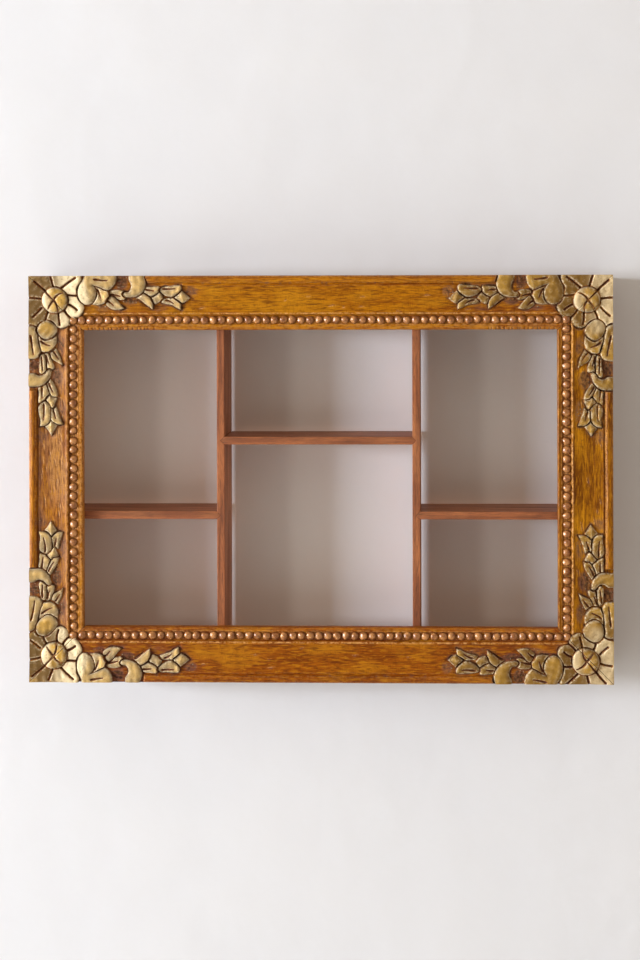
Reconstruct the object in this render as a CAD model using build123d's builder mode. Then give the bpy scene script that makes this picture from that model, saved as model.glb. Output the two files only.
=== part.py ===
from build123d import *
import os
from math import atan, cos, degrees, pi, sqrt

# A shallow wooden box with an open back, faced by a wide carved and mitred frame.
# X runs to the right, Z up from the underside, and the front faces -Y. Sizes are in millimetres.

# Outer sizes
frame_width = 600
frame_height = 418
carcass_depth = 76
carcass_board = 12
frame_overhang = 3

# Frame section, from the outer edge inward and up from its flat back
member_width = 57
frame_thickness = 16
outer_bead = 8
outer_bead_rise = 4
quirk_width = 2
quirk_floor = 11
field_height = 13
field_hollow = 0.9
hollow_slope = 9
ridge_width = 3
ridge_height = 13.8
carved_band = 41
groove_slope = 1
bead_channel = 10
channel_floor = 9.5
lip_height = 10

# Row of beads
bead_radius = 4.3
bead_sides = 6
bead_rise = 3.8
bead_taper = 27
rail_bead_pitch = 9.05
stile_bead_pitch = 9.5

# Corner carving, drawn on a band of drawn_band and scaled to the frame's own band
drawn_band = 41
rosette_centre = 26
boss_radius = 13.2
boss_crown = 0.88
boss_slope = 70
petal_count = 8
petal_inner = 12
petal_outer = 28.5
petal_bulge = 7.6
petal_rise = 3.2
leaf_rise = 2.8
carved_ground = 12
carving_sink = 0.6
carving_taper = 14
arc_facets = 3
disc_facets = 10
carved_length = 119

# Dividers and shelves
inner_board = 8
inner_depth = 70
left_divider_x = -103.4
right_divider_x = 98.7
lower_shelf_z = 170.3
middle_shelf_z = 247.4
joint_clearance = 0.1
rebate_depth = 6

# Hanging rail and keyhole plates
rail_height = 32
rail_thickness = 12
rail_clearance = 0.5
hanger_inset = 85
plate_width = 44
plate_height = 24
plate_thickness = 2
plate_clearance = 0.2
keyhole_radius = 4.5
keyhole_slot = 4.5
keyhole_drop = 5
keyhole_travel = 10
pocket_width = 12
pocket_height = 23
pocket_depth = 5

# Fasteners
screw_spacing = 32
screw_sides = 8
screw_head_radius = 3
screw_head_depth = 1.6
screw_radius = 1.5
screw_point = 30
screw_length = 9
screw_slot = 0.8
dowel_radius = 3
dowel_sides = 8
dowel_length = 24
dowel_height = 5
dowel_places = (18, 36)
brad_size = 1.4
brad_length = 30
brad_inset = 150
rail_brads = 4
stile_brads = 2
nail_size = 2
nail_length = 30
nail_places = (22, 62)
rail_nail_x = (-250, 0, 250)
pin_clearance = 0.05

# Places worked out from the sizes
front_y = -(frame_thickness + carcass_depth) / 2
frame_back_y = front_y + frame_thickness
wall_y = frame_back_y + carcass_depth
inner_back_y = frame_back_y + inner_depth
carcass_x = frame_width / 2 - frame_overhang
carcass_inner_x = carcass_x - carcass_board
hanger_x = carcass_inner_x - hanger_inset
carcass_top = frame_height - frame_overhang
inner_top = carcass_top - carcass_board
quirk_line = outer_bead + quirk_width / 2
bead_line = carved_band + groove_slope + bead_channel / 2
lip_start = carved_band + 2 * groove_slope + bead_channel
rail_centre_z = inner_top - rail_height / 2
rail_front_y = wall_y - rail_thickness
motif_scale = carved_band / drawn_band

toward_front = (0, -1, 0)
wall_plane = Plane.XZ.offset(-wall_y)
inner_plane = Plane.XZ.offset(-inner_back_y)
quirk_plane = Plane.XZ.offset(-frame_back_y + quirk_floor)

# The carved shapes of one arm, outward from the corner: two tips and the bulge of each side's arc
leaves = (
    ((64, 1), (92, 5), 10, 1.5),
    ((72, 9), (69, 32), 11, -3.5),
    ((80, 19), (99, 35), 5, 4.5),
    ((107, -12), (97, 20), 16, -3),
    ((117, 17), (136, 11), 4.5, 4),
    ((115, 20), (128, 35), 4, 4),
    ((126, 22), (140, 25.5), 3.2, 3.2),
    ((138, 19), (158, 9), 4, 4.5),
    ((139, 24), (156, 35), 4, 4),
    ((149, 23), (167, 24.5), 5.5, 5.5),
)
disc_centre = (60.2, 18.5)
disc_radius = 9.8


def carved_block(points, rise):
    """A carved shape raised from the ground, with sloping sides."""
    with BuildSketch(Plane.XY.offset(carved_ground - carving_sink)) as outline:
        Polygon(*[Vector(point) * motif_scale for point in points], align=None)
    extrude(outline.sketch, amount=rise + carving_sink, taper=carving_taper)


def leaf(tip, far_tip, bulge, far_bulge):
    """A leaf's outline between two tips, each side an arc cut in flat facets."""
    sides = (SagittaArc(tip, far_tip, -bulge), SagittaArc(far_tip, tip, -far_bulge))
    return [side @ (step / arc_facets) for side in sides for step in range(arc_facets)]


def round_outline(centre, radius):
    """A disc's outline, cut in flat facets."""
    spoke = Vector(radius, 0)
    return [centre + spoke.rotate(Axis.Z, step * 360 / disc_facets) for step in range(disc_facets)]


def carved_arm():
    """The relief of one carved corner arm: rosette, disc, leaves, scroll and two tulips."""
    centre = Vector(rosette_centre, rosette_centre)
    with BuildPart() as arm:
        for turn in range(petal_count):
            outward = Vector(1, 0).rotate(Axis.Z, (turn + 0.5) * 360 / petal_count)
            ends = (centre + outward * petal_inner, centre + outward * petal_outer)
            carved_block(leaf(*ends, petal_bulge, petal_bulge), petal_rise)
        for shape in leaves:
            carved_block(leaf(*shape), leaf_rise)
        carved_block(round_outline(Vector(disc_centre), disc_radius), leaf_rise)
        carved_block(round_outline(centre, boss_radius), petal_rise)
        crown = centre * motif_scale + Vector(0, 0, carved_ground + petal_rise)
        with BuildSketch(Plane(crown)):
            RegularPolygon(boss_radius * boss_crown * motif_scale, disc_facets)
        extrude(amount=frame_thickness - carved_ground - petal_rise, taper=boss_slope)
    return arm.part


def carved_member(length, bead_pitch, arm):
    """One frame member lying on its back, its outer edge along X, with mitred ends."""
    field_start = outer_bead + quirk_width
    ridge_start = carved_band - ridge_width
    reach = carved_length * motif_scale
    bead_count = max(2, round((length - 2 * bead_line) / bead_pitch))
    bead_step = (length - 2 * bead_line) / bead_count
    with BuildPart() as member:
        with BuildSketch(Plane.YZ):
            with BuildLine():
                Line((0, 0), (0, frame_thickness - outer_bead_rise))
                ThreePointArc(
                    (0, frame_thickness - outer_bead_rise),
                    (outer_bead / 2, frame_thickness),
                    (outer_bead, frame_thickness - outer_bead_rise),
                )
                Polyline(
                    (outer_bead, frame_thickness - outer_bead_rise),
                    (quirk_line, quirk_floor),
                    (field_start, field_height),
                    (field_start + hollow_slope, field_height - field_hollow),
                    (ridge_start - hollow_slope, field_height - field_hollow),
                    (ridge_start, field_height),
                    (ridge_start + ridge_width / 2, ridge_height),
                    (carved_band, field_height),
                    (carved_band + groove_slope, channel_floor),
                    (lip_start - groove_slope, channel_floor),
                    (lip_start, lip_height),
                    (member_width, lip_height),
                    (member_width, 0),
                    (0, 0),
                )
            make_face()
        extrude(amount=length)
        with BuildSketch(Plane.XY.offset(carved_ground)):
            for middle in (reach / 2, length - reach / 2):
                with Locations((middle, field_start / 2)):
                    Rectangle(reach, field_start)
        extrude(amount=frame_thickness, mode=Mode.SUBTRACT)
        with BuildPart(mode=Mode.PRIVATE) as bead:
            with BuildSketch(Plane.XY.offset(channel_floor)):
                RegularPolygon(bead_radius, bead_sides)
            extrude(amount=bead_rise, taper=bead_taper)
        with Locations((length / 2, bead_line)):
            with GridLocations(bead_step, 1, bead_count + 1, 1):
                add(bead.part)
        add(arm)
        add(arm.mirror(Plane.YZ).moved(Location((length, 0, 0))))
        with BuildSketch():
            Polygon(
                (0, 0),
                (length, 0),
                (length - member_width, member_width),
                (member_width, member_width),
                align=None,
            )
        extrude(amount=frame_thickness, mode=Mode.INTERSECT)
        with BuildSketch(*dowel_planes(length)):
            RegularPolygon(dowel_radius + pin_clearance, dowel_sides)
        extrude(amount=dowel_length / 2 + pin_clearance, both=True, mode=Mode.SUBTRACT)
    return member.part


def dowel_planes(length):
    """Where the dowels cross the two mitres of a member, each square to its mitre."""
    near = [Plane((p, p, dowel_height), (0, 0, 1), (1, -1, 0)) for p in dowel_places]
    far = [Plane((length - p, p, dowel_height), (0, 0, 1), (1, 1, 0)) for p in dowel_places]
    return near + far


def v_ended_board(span, middle, turn=0):
    """A board's front outline, with a square point beyond each end of its clear span."""
    half, tip = span / 2, inner_board / 2
    with Locations(middle):
        Polygon(
            (-half, -tip),
            (half, -tip),
            (half + tip, 0),
            (half, tip),
            (-half, tip),
            (-half - tip, 0),
            rotation=turn,
            align=None,
        )


def v_groove(mouth, turn):
    """The groove that takes a board's pointed end, opening at the mouth and deepening along turn."""
    size = inner_board / 2 + joint_clearance * sqrt(2)
    with Locations(mouth):
        Polygon((0, -size), (size, 0), (0, size), rotation=turn, align=None, mode=Mode.SUBTRACT)


def cut_nails(plane, places, size, length, gap, mode, lift=0):
    """Headless square nails driven down from a plane, or with a gap the holes that they make."""
    with BuildSketch(plane.offset(lift)) as section:
        with Locations(*places):
            Rectangle(size + 2 * gap, size + 2 * gap)
    extrude(section.sketch, amount=-length - gap - lift, mode=mode)


def brad_row(length, count):
    """Even places along a member, the first and last an inset from its ends."""
    step = (length - 2 * brad_inset) / max(1, count - 1)
    return [brad_inset + i * step for i in range(count)]


def brads(gap=0, mode=Mode.ADD):
    """The brads in the frame's outer quirk, clear of the carved corners."""
    side_x = frame_width / 2 - quirk_line
    rail_places = [along - frame_width / 2 for along in brad_row(frame_width, rail_brads)]
    places = [(x, z) for x in rail_places for z in (quirk_line, frame_height - quirk_line)]
    places += [(x, z) for z in brad_row(frame_height, stile_brads) for x in (-side_x, side_x)]
    lift = frame_thickness - quirk_floor if gap else 0
    cut_nails(quirk_plane, places, brad_size, brad_length, gap, mode, lift)


def nails(gap=0, mode=Mode.ADD):
    """The nails through the side boards and the top board."""
    corner_z = (carcass_board / 2, carcass_top - carcass_board / 2)
    rail_y = wall_y - rail_thickness / 2
    side_places = [(frame_back_y + depth, z) for depth in nail_places for z in corner_z]
    side_places.append((rail_y, rail_centre_z))
    left_places = [(-y, z) for y, z in side_places]
    top_places = [(x, rail_y) for x in rail_nail_x]
    sizes = (nail_size, nail_length, gap, mode)
    cut_nails(Plane.YZ.offset(carcass_x), side_places, *sizes)
    cut_nails(Plane((-carcass_x, 0, 0), (0, -1, 0), (-1, 0, 0)), left_places, *sizes)
    cut_nails(Plane.XY.offset(carcass_top), top_places, *sizes)


def screw_form(gap=0):
    """A countersunk screw standing on its head, or with a gap the hole that it leaves."""
    taper = degrees(atan((screw_head_radius - screw_radius) * cos(pi / screw_sides) / screw_head_depth))
    with BuildPart() as screw:
        with BuildSketch():
            RegularPolygon(screw_head_radius + gap, screw_sides)
        extrude(amount=screw_head_depth, taper=taper)
        with BuildSketch(Plane.XY.offset(screw_head_depth)):
            RegularPolygon(screw_radius + gap, screw_sides)
        extrude(amount=screw_length - screw_head_depth - screw_radius + gap)
        with BuildSketch(Plane.XY.offset(screw_length - screw_radius + gap)):
            RegularPolygon(screw_radius + gap, screw_sides)
        extrude(amount=screw_radius, taper=screw_point)
    return screw.part


def screws(gap=0, mode=Mode.ADD):
    """The four screws of the keyhole plates, driven in from the back."""
    form = screw_form(gap)
    for plate_x in (-hanger_x, hanger_x):
        for side in (-0.5, 0.5):
            head = (plate_x + side * screw_spacing, wall_y, rail_centre_z)
            add(form.moved(Plane(head, (1, 0, 0), toward_front).location), mode=mode)


# Frame members: each is placed by its outer corner, with its outer edge along the given direction
relief = carved_arm()
rail_blank = carved_member(frame_width, rail_bead_pitch, relief)
stile_blank = carved_member(frame_height, stile_bead_pitch, relief)
half_width = frame_width / 2
members = {
    "frame_bottom_rail": (rail_blank, (-half_width, frame_back_y, 0), (1, 0, 0)),
    "frame_right_stile": (stile_blank, (half_width, frame_back_y, 0), (0, 0, 1)),
    "frame_top_rail": (rail_blank, (half_width, frame_back_y, frame_height), (-1, 0, 0)),
    "frame_left_stile": (stile_blank, (-half_width, frame_back_y, frame_height), (0, 0, -1)),
}
os.makedirs("parts", exist_ok=True)
for name, (blank, corner, along) in members.items():
    place = Plane(corner, along, toward_front)
    with BuildPart() as member:
        add(blank.moved(place.location))
        brads(pin_clearance, Mode.SUBTRACT)
    member.part.label = name
    export_step(member.part, f"parts/{name}.step")

# Mitre dowels: blind holes in both members hold them
with BuildPart() as mitre_dowels:
    for _, corner, along in (members["frame_bottom_rail"], members["frame_top_rail"]):
        place = Plane(corner, along, toward_front).location
        with BuildSketch(*[Plane(place * plane.location) for plane in dowel_planes(frame_width)]):
            RegularPolygon(dowel_radius, dowel_sides)
        extrude(amount=dowel_length / 2, both=True)
mitre_dowels.part.label = "mitre_dowels"
export_step(mitre_dowels.part, "parts/mitre_dowels.step")

# Frame brads
with BuildPart() as frame_brads:
    brads()
frame_brads.part.label = "frame_brads"
export_step(frame_brads.part, "parts/frame_brads.step")

# Side boards: rebated for the top and bottom boards, grooved for the lower shelves
for name, side in (("side_board_left", -1), ("side_board_right", 1)):
    with BuildPart() as side_board:
        with BuildSketch(wall_plane):
            with Locations((side * (carcass_inner_x + carcass_board / 2), carcass_top / 2)):
                Rectangle(carcass_board, carcass_top)
            rebate_x = side * (carcass_inner_x + rebate_depth / 2)
            with Locations((rebate_x, carcass_board / 2), (rebate_x, carcass_top - carcass_board / 2)):
                Rectangle(rebate_depth, carcass_board, mode=Mode.SUBTRACT)
            v_groove((side * carcass_inner_x, lower_shelf_z), 0 if side > 0 else 180)
        extrude(amount=carcass_depth)
        brads(pin_clearance, Mode.SUBTRACT)
        nails(pin_clearance, Mode.SUBTRACT)
    side_board.part.label = name
    export_step(side_board.part, f"parts/{name}.step")

# Top and bottom boards: grooved for the dividers, their ends in the side boards' rebates
for name, inner_face, side in (("bottom_board", carcass_board, -1), ("top_board", inner_top, 1)):
    with BuildPart() as board:
        with BuildSketch(wall_plane):
            with Locations((0, inner_face + side * carcass_board / 2)):
                Rectangle(2 * (carcass_inner_x + rebate_depth - joint_clearance), carcass_board)
            for x in (left_divider_x, right_divider_x):
                v_groove((x, inner_face), side * 90)
        extrude(amount=carcass_depth)
        brads(pin_clearance, Mode.SUBTRACT)
        nails(pin_clearance, Mode.SUBTRACT)
    board.part.label = name
    export_step(board.part, f"parts/{name}.step")

# Dividers: pointed into the top and bottom boards, grooved for the shelves, notched round the rail
for name, x, side in (("divider_left", left_divider_x, -1), ("divider_right", right_divider_x, 1)):
    with BuildPart() as divider:
        with BuildSketch(inner_plane):
            v_ended_board(inner_top - carcass_board, (x, (inner_top + carcass_board) / 2), 90)
            inward_turn = 0 if side < 0 else 180
            v_groove((x + side * inner_board / 2, lower_shelf_z), inward_turn)
            v_groove((x - side * inner_board / 2, middle_shelf_z), 180 - inward_turn)
        extrude(amount=inner_depth)
        notch_depth = inner_back_y - rail_front_y + rail_clearance
        notch_height = rail_height + inner_board / 2 + rail_clearance
        with Locations((x, inner_back_y, inner_top + inner_board / 2)):
            Box(2 * inner_board, 2 * notch_depth, 2 * notch_height, mode=Mode.SUBTRACT)
    divider.part.label = name
    export_step(divider.part, f"parts/{name}.step")

# Shelves: square points at both ends seat in the grooves of the boards beside them
half_board = inner_board / 2
shelves = {
    "shelf_middle": (left_divider_x + half_board, right_divider_x - half_board, middle_shelf_z),
    "shelf_lower_left": (-carcass_inner_x, left_divider_x - half_board, lower_shelf_z),
    "shelf_lower_right": (right_divider_x + half_board, carcass_inner_x, lower_shelf_z),
}
for name, (left, right, shelf_z) in shelves.items():
    with BuildPart() as shelf:
        with BuildSketch(inner_plane):
            v_ended_board(right - left, ((left + right) / 2, shelf_z))
        extrude(amount=inner_depth)
    shelf.part.label = name
    export_step(shelf.part, f"parts/{name}.step")

# Hanging rail: recessed for the plates, with a pocket behind each keyhole
with BuildPart() as hanging_rail:
    with BuildSketch(wall_plane):
        with Locations((0, rail_centre_z)):
            Rectangle(2 * (carcass_inner_x - joint_clearance), rail_height)
    extrude(amount=rail_thickness)
    with BuildSketch(wall_plane):
        with Locations((-hanger_x, rail_centre_z), (hanger_x, rail_centre_z)):
            Rectangle(plate_width + 2 * plate_clearance, plate_height + 2 * plate_clearance)
    extrude(amount=plate_thickness, mode=Mode.SUBTRACT)
    with BuildSketch(wall_plane.offset(plate_thickness)):
        with Locations((-hanger_x, rail_centre_z), (hanger_x, rail_centre_z)):
            SlotOverall(pocket_height, pocket_width, rotation=90)
    extrude(amount=pocket_depth, mode=Mode.SUBTRACT)
    nails(pin_clearance, Mode.SUBTRACT)
    screws(pin_clearance, Mode.SUBTRACT)
hanging_rail.part.label = "hanging_rail"
export_step(hanging_rail.part, "parts/hanging_rail.step")

# Keyhole plates: let in flush with the back of the rail
for name, x in (("keyhole_plate_left", -hanger_x), ("keyhole_plate_right", hanger_x)):
    with BuildPart() as keyhole_plate:
        entry_z = rail_centre_z - keyhole_drop
        with BuildSketch(wall_plane):
            with Locations((x, rail_centre_z)):
                Rectangle(plate_width, plate_height)
            with Locations((x, entry_z)):
                Circle(keyhole_radius, mode=Mode.SUBTRACT)
            with Locations((x, entry_z + keyhole_travel / 2)):
                SlotCenterToCenter(keyhole_travel, keyhole_slot, rotation=90, mode=Mode.SUBTRACT)
        extrude(amount=plate_thickness)
        screws(pin_clearance, Mode.SUBTRACT)
    keyhole_plate.part.label = name
    export_step(keyhole_plate.part, f"parts/{name}.step")

# Plate screws: slotted, their heads flush with the plates
with BuildPart() as hanger_screws:
    screws()
    for plate_x in (-hanger_x, hanger_x):
        with Locations((plate_x, wall_y, rail_centre_z)):
            with GridLocations(screw_spacing, 1, 2, 1):
                Box(2 * screw_head_radius, 2 * screw_slot, screw_slot, mode=Mode.SUBTRACT)
hanger_screws.part.label = "hanger_screws"
export_step(hanger_screws.part, "parts/hanger_screws.step")

# Carcass nails
with BuildPart() as carcass_nails:
    nails()
carcass_nails.part.label = "carcass_nails"
export_step(carcass_nails.part, "parts/carcass_nails.step")
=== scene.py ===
from math import cos, pi, radians, sin

import bmesh
import bpy
import numpy as np
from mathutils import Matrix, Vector


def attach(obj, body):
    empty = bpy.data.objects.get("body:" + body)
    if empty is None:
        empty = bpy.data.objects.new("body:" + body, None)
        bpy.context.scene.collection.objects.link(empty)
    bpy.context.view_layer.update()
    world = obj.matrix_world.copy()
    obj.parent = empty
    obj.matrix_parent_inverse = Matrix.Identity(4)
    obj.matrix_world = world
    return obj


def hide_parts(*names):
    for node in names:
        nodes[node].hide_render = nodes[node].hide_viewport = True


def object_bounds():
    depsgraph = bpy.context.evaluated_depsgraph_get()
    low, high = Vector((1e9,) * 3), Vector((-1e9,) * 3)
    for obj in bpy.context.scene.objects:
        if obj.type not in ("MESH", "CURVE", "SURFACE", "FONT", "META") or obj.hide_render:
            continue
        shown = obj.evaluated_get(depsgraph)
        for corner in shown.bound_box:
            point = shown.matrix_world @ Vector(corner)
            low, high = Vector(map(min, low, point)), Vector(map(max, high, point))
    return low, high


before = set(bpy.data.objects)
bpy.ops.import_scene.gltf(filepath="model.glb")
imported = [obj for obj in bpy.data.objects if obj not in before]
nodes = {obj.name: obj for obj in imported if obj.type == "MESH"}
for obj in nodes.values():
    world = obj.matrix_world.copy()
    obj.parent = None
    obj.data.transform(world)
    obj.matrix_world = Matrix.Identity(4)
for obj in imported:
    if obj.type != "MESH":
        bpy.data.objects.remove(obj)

cad_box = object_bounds()

# Camera, a little right of the shelf and level with its top, looking square at the wall.
# The lens is long, and the shift brings the shelf to the middle of the picture.
camera = bpy.data.objects.new("camera", bpy.data.cameras.new("camera"))
bpy.context.scene.collection.objects.link(camera)
bpy.context.scene.camera = camera
camera.location = (0.135, -2.109, 0.432)
camera.rotation_euler = (radians(90.04), radians(0.15), radians(2))
camera.data.sensor_width = 36
camera.data.lens = 75.7
camera.data.shift_x = -0.063
camera.data.shift_y = -0.229
camera.data.clip_start = 0.1
bpy.context.scene.view_settings.view_transform = "Standard"


# Wall and floor, plain and pale, with soft daylight from the left and a weak lamp behind.
# The wall is seen only from the front and lets light through, so the shelf's back is lit too.
def srgb(code):
    """A hex colour as linear values."""
    parts = [int(code[i : i + 2], 16) / 255 for i in (1, 3, 5)]
    return (*[c / 12.92 if c <= 0.04045 else ((c + 0.055) / 1.055) ** 2.4 for c in parts], 1.0)


def add_node(tree, kind, sockets=(), **settings):
    """A new node with its settings, and each socket given a value, or linked to a node or its output."""
    new = tree.nodes.new(kind)
    for setting, value in settings.items():
        setattr(new, setting, value)
    for socket, value in dict(sockets).items():
        if isinstance(value, bpy.types.Node):
            value = next(output for output in value.outputs if output.enabled)
        if isinstance(value, bpy.types.NodeSocket):
            tree.links.new(value, new.inputs[socket])
        else:
            new.inputs[socket].default_value = value
    return new


def new_material(name):
    """An empty node material and its tree."""
    made = bpy.data.materials.new(name)
    made.use_nodes = True
    made.node_tree.nodes.clear()
    return made, made.node_tree


def flat_quad(name, corners, material):
    """A single stage face."""
    mesh = bpy.data.meshes.new(name)
    mesh.from_pydata(corners, [], [(0, 1, 2, 3)])
    mesh.materials.append(material)
    made = bpy.data.objects.new(name, mesh)
    bpy.context.scene.collection.objects.link(made)


wall_y = cad_box[1].y + 0.0006
wall_reach, wall_top = 2.5, 2.4
floor_z = -0.62
floor_reach = 4
mirror_gap = 0.02

# Painted plaster: almost white and matt, with the faint unevenness of a trowel.
plaster, tree = new_material("painted_plaster")
place = add_node(tree, "ShaderNodeTexCoord").outputs["Object"]
trowel = add_node(tree, "ShaderNodeTexNoise", {"Vector": place, "Scale": 9.0, "Detail": 4.0})
tone = add_node(tree, "ShaderNodeMix", {0: trowel, 6: srgb("#e9eaea"), 7: srgb("#eeeeec")}, data_type="RGBA")
bump = add_node(tree, "ShaderNodeBump", {"Height": trowel, "Strength": 0.25, "Distance": 0.01})
paint = add_node(tree, "ShaderNodeBsdfPrincipled", {"Base Color": tone, "Roughness": 0.8, "Normal": bump})
ray = add_node(tree, "ShaderNodeLightPath").outputs
back_side = add_node(tree, "ShaderNodeNewGeometry").outputs["Backfacing"]
# Metal let into the shelf's back lies within a millimetre of the wall, and mirrors what is beyond it.
close_by = add_node(tree, "ShaderNodeMath", {0: ray["Ray Length"], 1: mirror_gap}, operation="LESS_THAN")
way_through = add_node(tree, "ShaderNodeMath", {0: close_by, 1: ray["Is Glossy Ray"]}, operation="MULTIPLY")
for reason in (ray["Is Shadow Ray"], ray["Is Diffuse Ray"], back_side):
    way_through = add_node(tree, "ShaderNodeMath", {0: way_through, 1: reason}, operation="MAXIMUM")
clear = add_node(tree, "ShaderNodeBsdfTransparent")
surface = add_node(tree, "ShaderNodeMixShader", {0: way_through, 1: paint, 2: clear})
add_node(tree, "ShaderNodeOutputMaterial", {"Surface": surface})
flat_quad(
    "wall",
    [
        (-wall_reach, wall_y, floor_z),
        (wall_reach, wall_y, floor_z),
        (wall_reach, wall_y, wall_top),
        (-wall_reach, wall_y, wall_top),
    ],
    plaster,
)

# Painted floor: pale grey, and a little glossier than the wall, with a fine grit.
floor_paint, tree = new_material("painted_floor")
place = add_node(tree, "ShaderNodeTexCoord").outputs["Object"]
grit = add_node(tree, "ShaderNodeTexNoise", {"Vector": place, "Scale": 60.0})
tone = add_node(tree, "ShaderNodeMix", {0: grit, 6: srgb("#dcdbd8"), 7: srgb("#e6e5e2")}, data_type="RGBA")
paint = add_node(tree, "ShaderNodeBsdfPrincipled", {"Base Color": tone, "Roughness": 0.7})
add_node(tree, "ShaderNodeOutputMaterial", {"Surface": paint})
flat_quad(
    "floor",
    [(x * floor_reach, y * floor_reach, floor_z) for x, y in ((-1, -1), (1, -1), (1, 1), (-1, 1))],
    floor_paint,
)


def window_lamp(name, place, width, height, power, colour, mirrored=True):
    """An upright soft lamp, as large as a window, that faces the middle of the shelf."""
    lamp = bpy.data.lights.new(name, "AREA")
    lamp.shape = "RECTANGLE"
    lamp.size, lamp.size_y = width, height
    lamp.energy = power
    lamp.color = srgb(colour)[:3]
    holder = bpy.data.objects.new(name, lamp)
    bpy.context.scene.collection.objects.link(holder)
    holder.location = place
    holder.rotation_euler = (Vector(place) - Vector((0, 0, 0.21))).to_track_quat("Z", "Y").to_euler()
    holder.visible_glossy = mirrored


window_lamp("near_window", (-4.55, -2.52, 0.55), 1.3, 0.8, 222, "#e6efff")
window_lamp("far_window", (-3.34, -3.98, 0.55), 0.6, 0.8, 20, "#fff2e6")
window_lamp("side_window", (-5.5, -1.25, 0.5), 1.0, 0.9, 135, "#f4f8ff")
window_lamp("back_lamp", (0.3, 3.2, 0.5), 0.8, 0.8, 40, "#ffffff", mirrored=False)

world = bpy.data.worlds.new("daylight_room")
bpy.context.scene.world = world
world.use_nodes = True
tree = world.node_tree
tree.nodes.clear()
direction = add_node(tree, "ShaderNodeTexCoord").outputs["Generated"]
direction = add_node(tree, "ShaderNodeSeparateXYZ", {0: direction}).outputs
room_light = srgb("#d2c2b0")
# For each part of the room: an axis, where along it the part starts and is full, and its colour.
room_parts = {
    "ceiling": ("Z", 0.2, 0.7, "#ccbeb0"),
    "floor": ("Z", -0.1, -0.7, "#a09182"),
    "bright_side": ("X", 0.7, 0.9, "#fff4e6"),
    "facing_side": ("Y", -0.72, -0.95, "#786b60"),
    "behind_the_wall": ("Y", 0.0, 0.35, "#75716d"),
}
for axis, start, full, colour in room_parts.values():
    part = add_node(tree, "ShaderNodeMapRange", {0: direction[axis], 1: start, 2: full})
    room_light = add_node(tree, "ShaderNodeMix", {0: part, 6: room_light, 7: srgb(colour)}, data_type="RGBA")
# A tall window far to the left shows only as a gleam, mirrored in the sides of the beads and mouldings.
window_gleam = (14.0, 12.8, 11.0, 1.0)
ray = add_node(tree, "ShaderNodeLightPath").outputs
to_window = add_node(tree, "ShaderNodeMapRange", {0: direction["X"], 1: -0.78, 2: -0.93})
mirrored = add_node(tree, "ShaderNodeMath", {0: to_window, 1: ray["Is Glossy Ray"]}, operation="MULTIPLY")
room_light = add_node(tree, "ShaderNodeMix", {0: mirrored, 6: room_light, 7: window_gleam}, data_type="RGBA")
backdrop = srgb("#eceae8")
seen = add_node(
    tree, "ShaderNodeMix", {0: ray["Is Camera Ray"], 6: room_light, 7: backdrop}, data_type="RGBA"
)
sky = add_node(tree, "ShaderNodeBackground", {"Color": seen})
add_node(tree, "ShaderNodeOutputWorld", {"Surface": sky})


# Box boards: hardwood, planed, stained brown and left matt. The top and bottom boards sit in rebates
# of the side boards, and the frame is planted on their front edges.
def grain(tree, axis, along_mm, across_mm, detail=4.0, distortion=0.0):
    """A noise drawn out along the grain, whose swells have about the given length and width."""
    place = add_node(tree, "ShaderNodeTexCoord").outputs["Object"]
    scale = [1000 / across_mm] * 3
    scale["xyz".index(axis)] = 1000 / along_mm
    squeezed = add_node(tree, "ShaderNodeMapping", {"Vector": place, "Scale": scale})
    return add_node(
        tree,
        "ShaderNodeTexNoise",
        {"Vector": squeezed, "Scale": 1.0, "Detail": detail, "Distortion": distortion},
    ).outputs[0]


def layer(tree, under, over, pattern, start, full, thin=0.0, thick=1.0, within=1.0):
    """A colour laid over another, thin where a pattern is at its start, thick where it is full."""
    cover = add_node(
        tree,
        "ShaderNodeMapRange",
        {0: pattern, 1: start, 2: full, 3: thin, 4: thick},
        interpolation_type="SMOOTHSTEP",
    )
    cover = add_node(tree, "ShaderNodeMath", {0: cover, 1: within}, operation="MULTIPLY")
    return add_node(tree, "ShaderNodeMix", {0: cover, 6: under, 7: over}, data_type="RGBA")


def plain_board(name, axis, dark, light, worn, roughness):
    """Stained hardwood: long soft figure, fine dark pores along the grain, and a blotchy stain.
    The eye gets a matt surface, a little glossier where the figure is light, with the pores just felt."""
    made, tree = new_material(name)
    figure = grain(tree, axis, 90, 5, 5.0, 0.6)
    pores = grain(tree, axis, 9, 0.45, 2.0)
    blotch = grain(tree, axis, 70, 28)
    tone = layer(tree, srgb(dark), srgb(light), figure, 0.32, 0.68)
    tone = layer(tree, tone, srgb(worn), blotch, 0.45, 0.75, 0.0, 0.45)
    tone = layer(tree, tone, srgb("#2c160c"), pores, 0.36, 0.5, 0.45, 0.0)
    height = add_node(tree, "ShaderNodeMath", {0: figure, 1: pores, 2: 0.2}, operation="MULTIPLY_ADD")
    bump = add_node(tree, "ShaderNodeBump", {"Height": height, "Strength": 0.35, "Distance": 0.0006})
    sheen = add_node(
        tree,
        "ShaderNodeMapRange",
        {0: figure, 1: 0.3, 2: 0.7, 3: roughness + 0.08, 4: roughness - 0.05},
        interpolation_type="SMOOTHSTEP",
    )
    board = add_node(
        tree, "ShaderNodeBsdfPrincipled", {"Base Color": tone, "Roughness": sheen, "Normal": bump, "IOR": 1.5}
    )
    add_node(tree, "ShaderNodeOutputMaterial", {"Surface": board})
    return made


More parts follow.
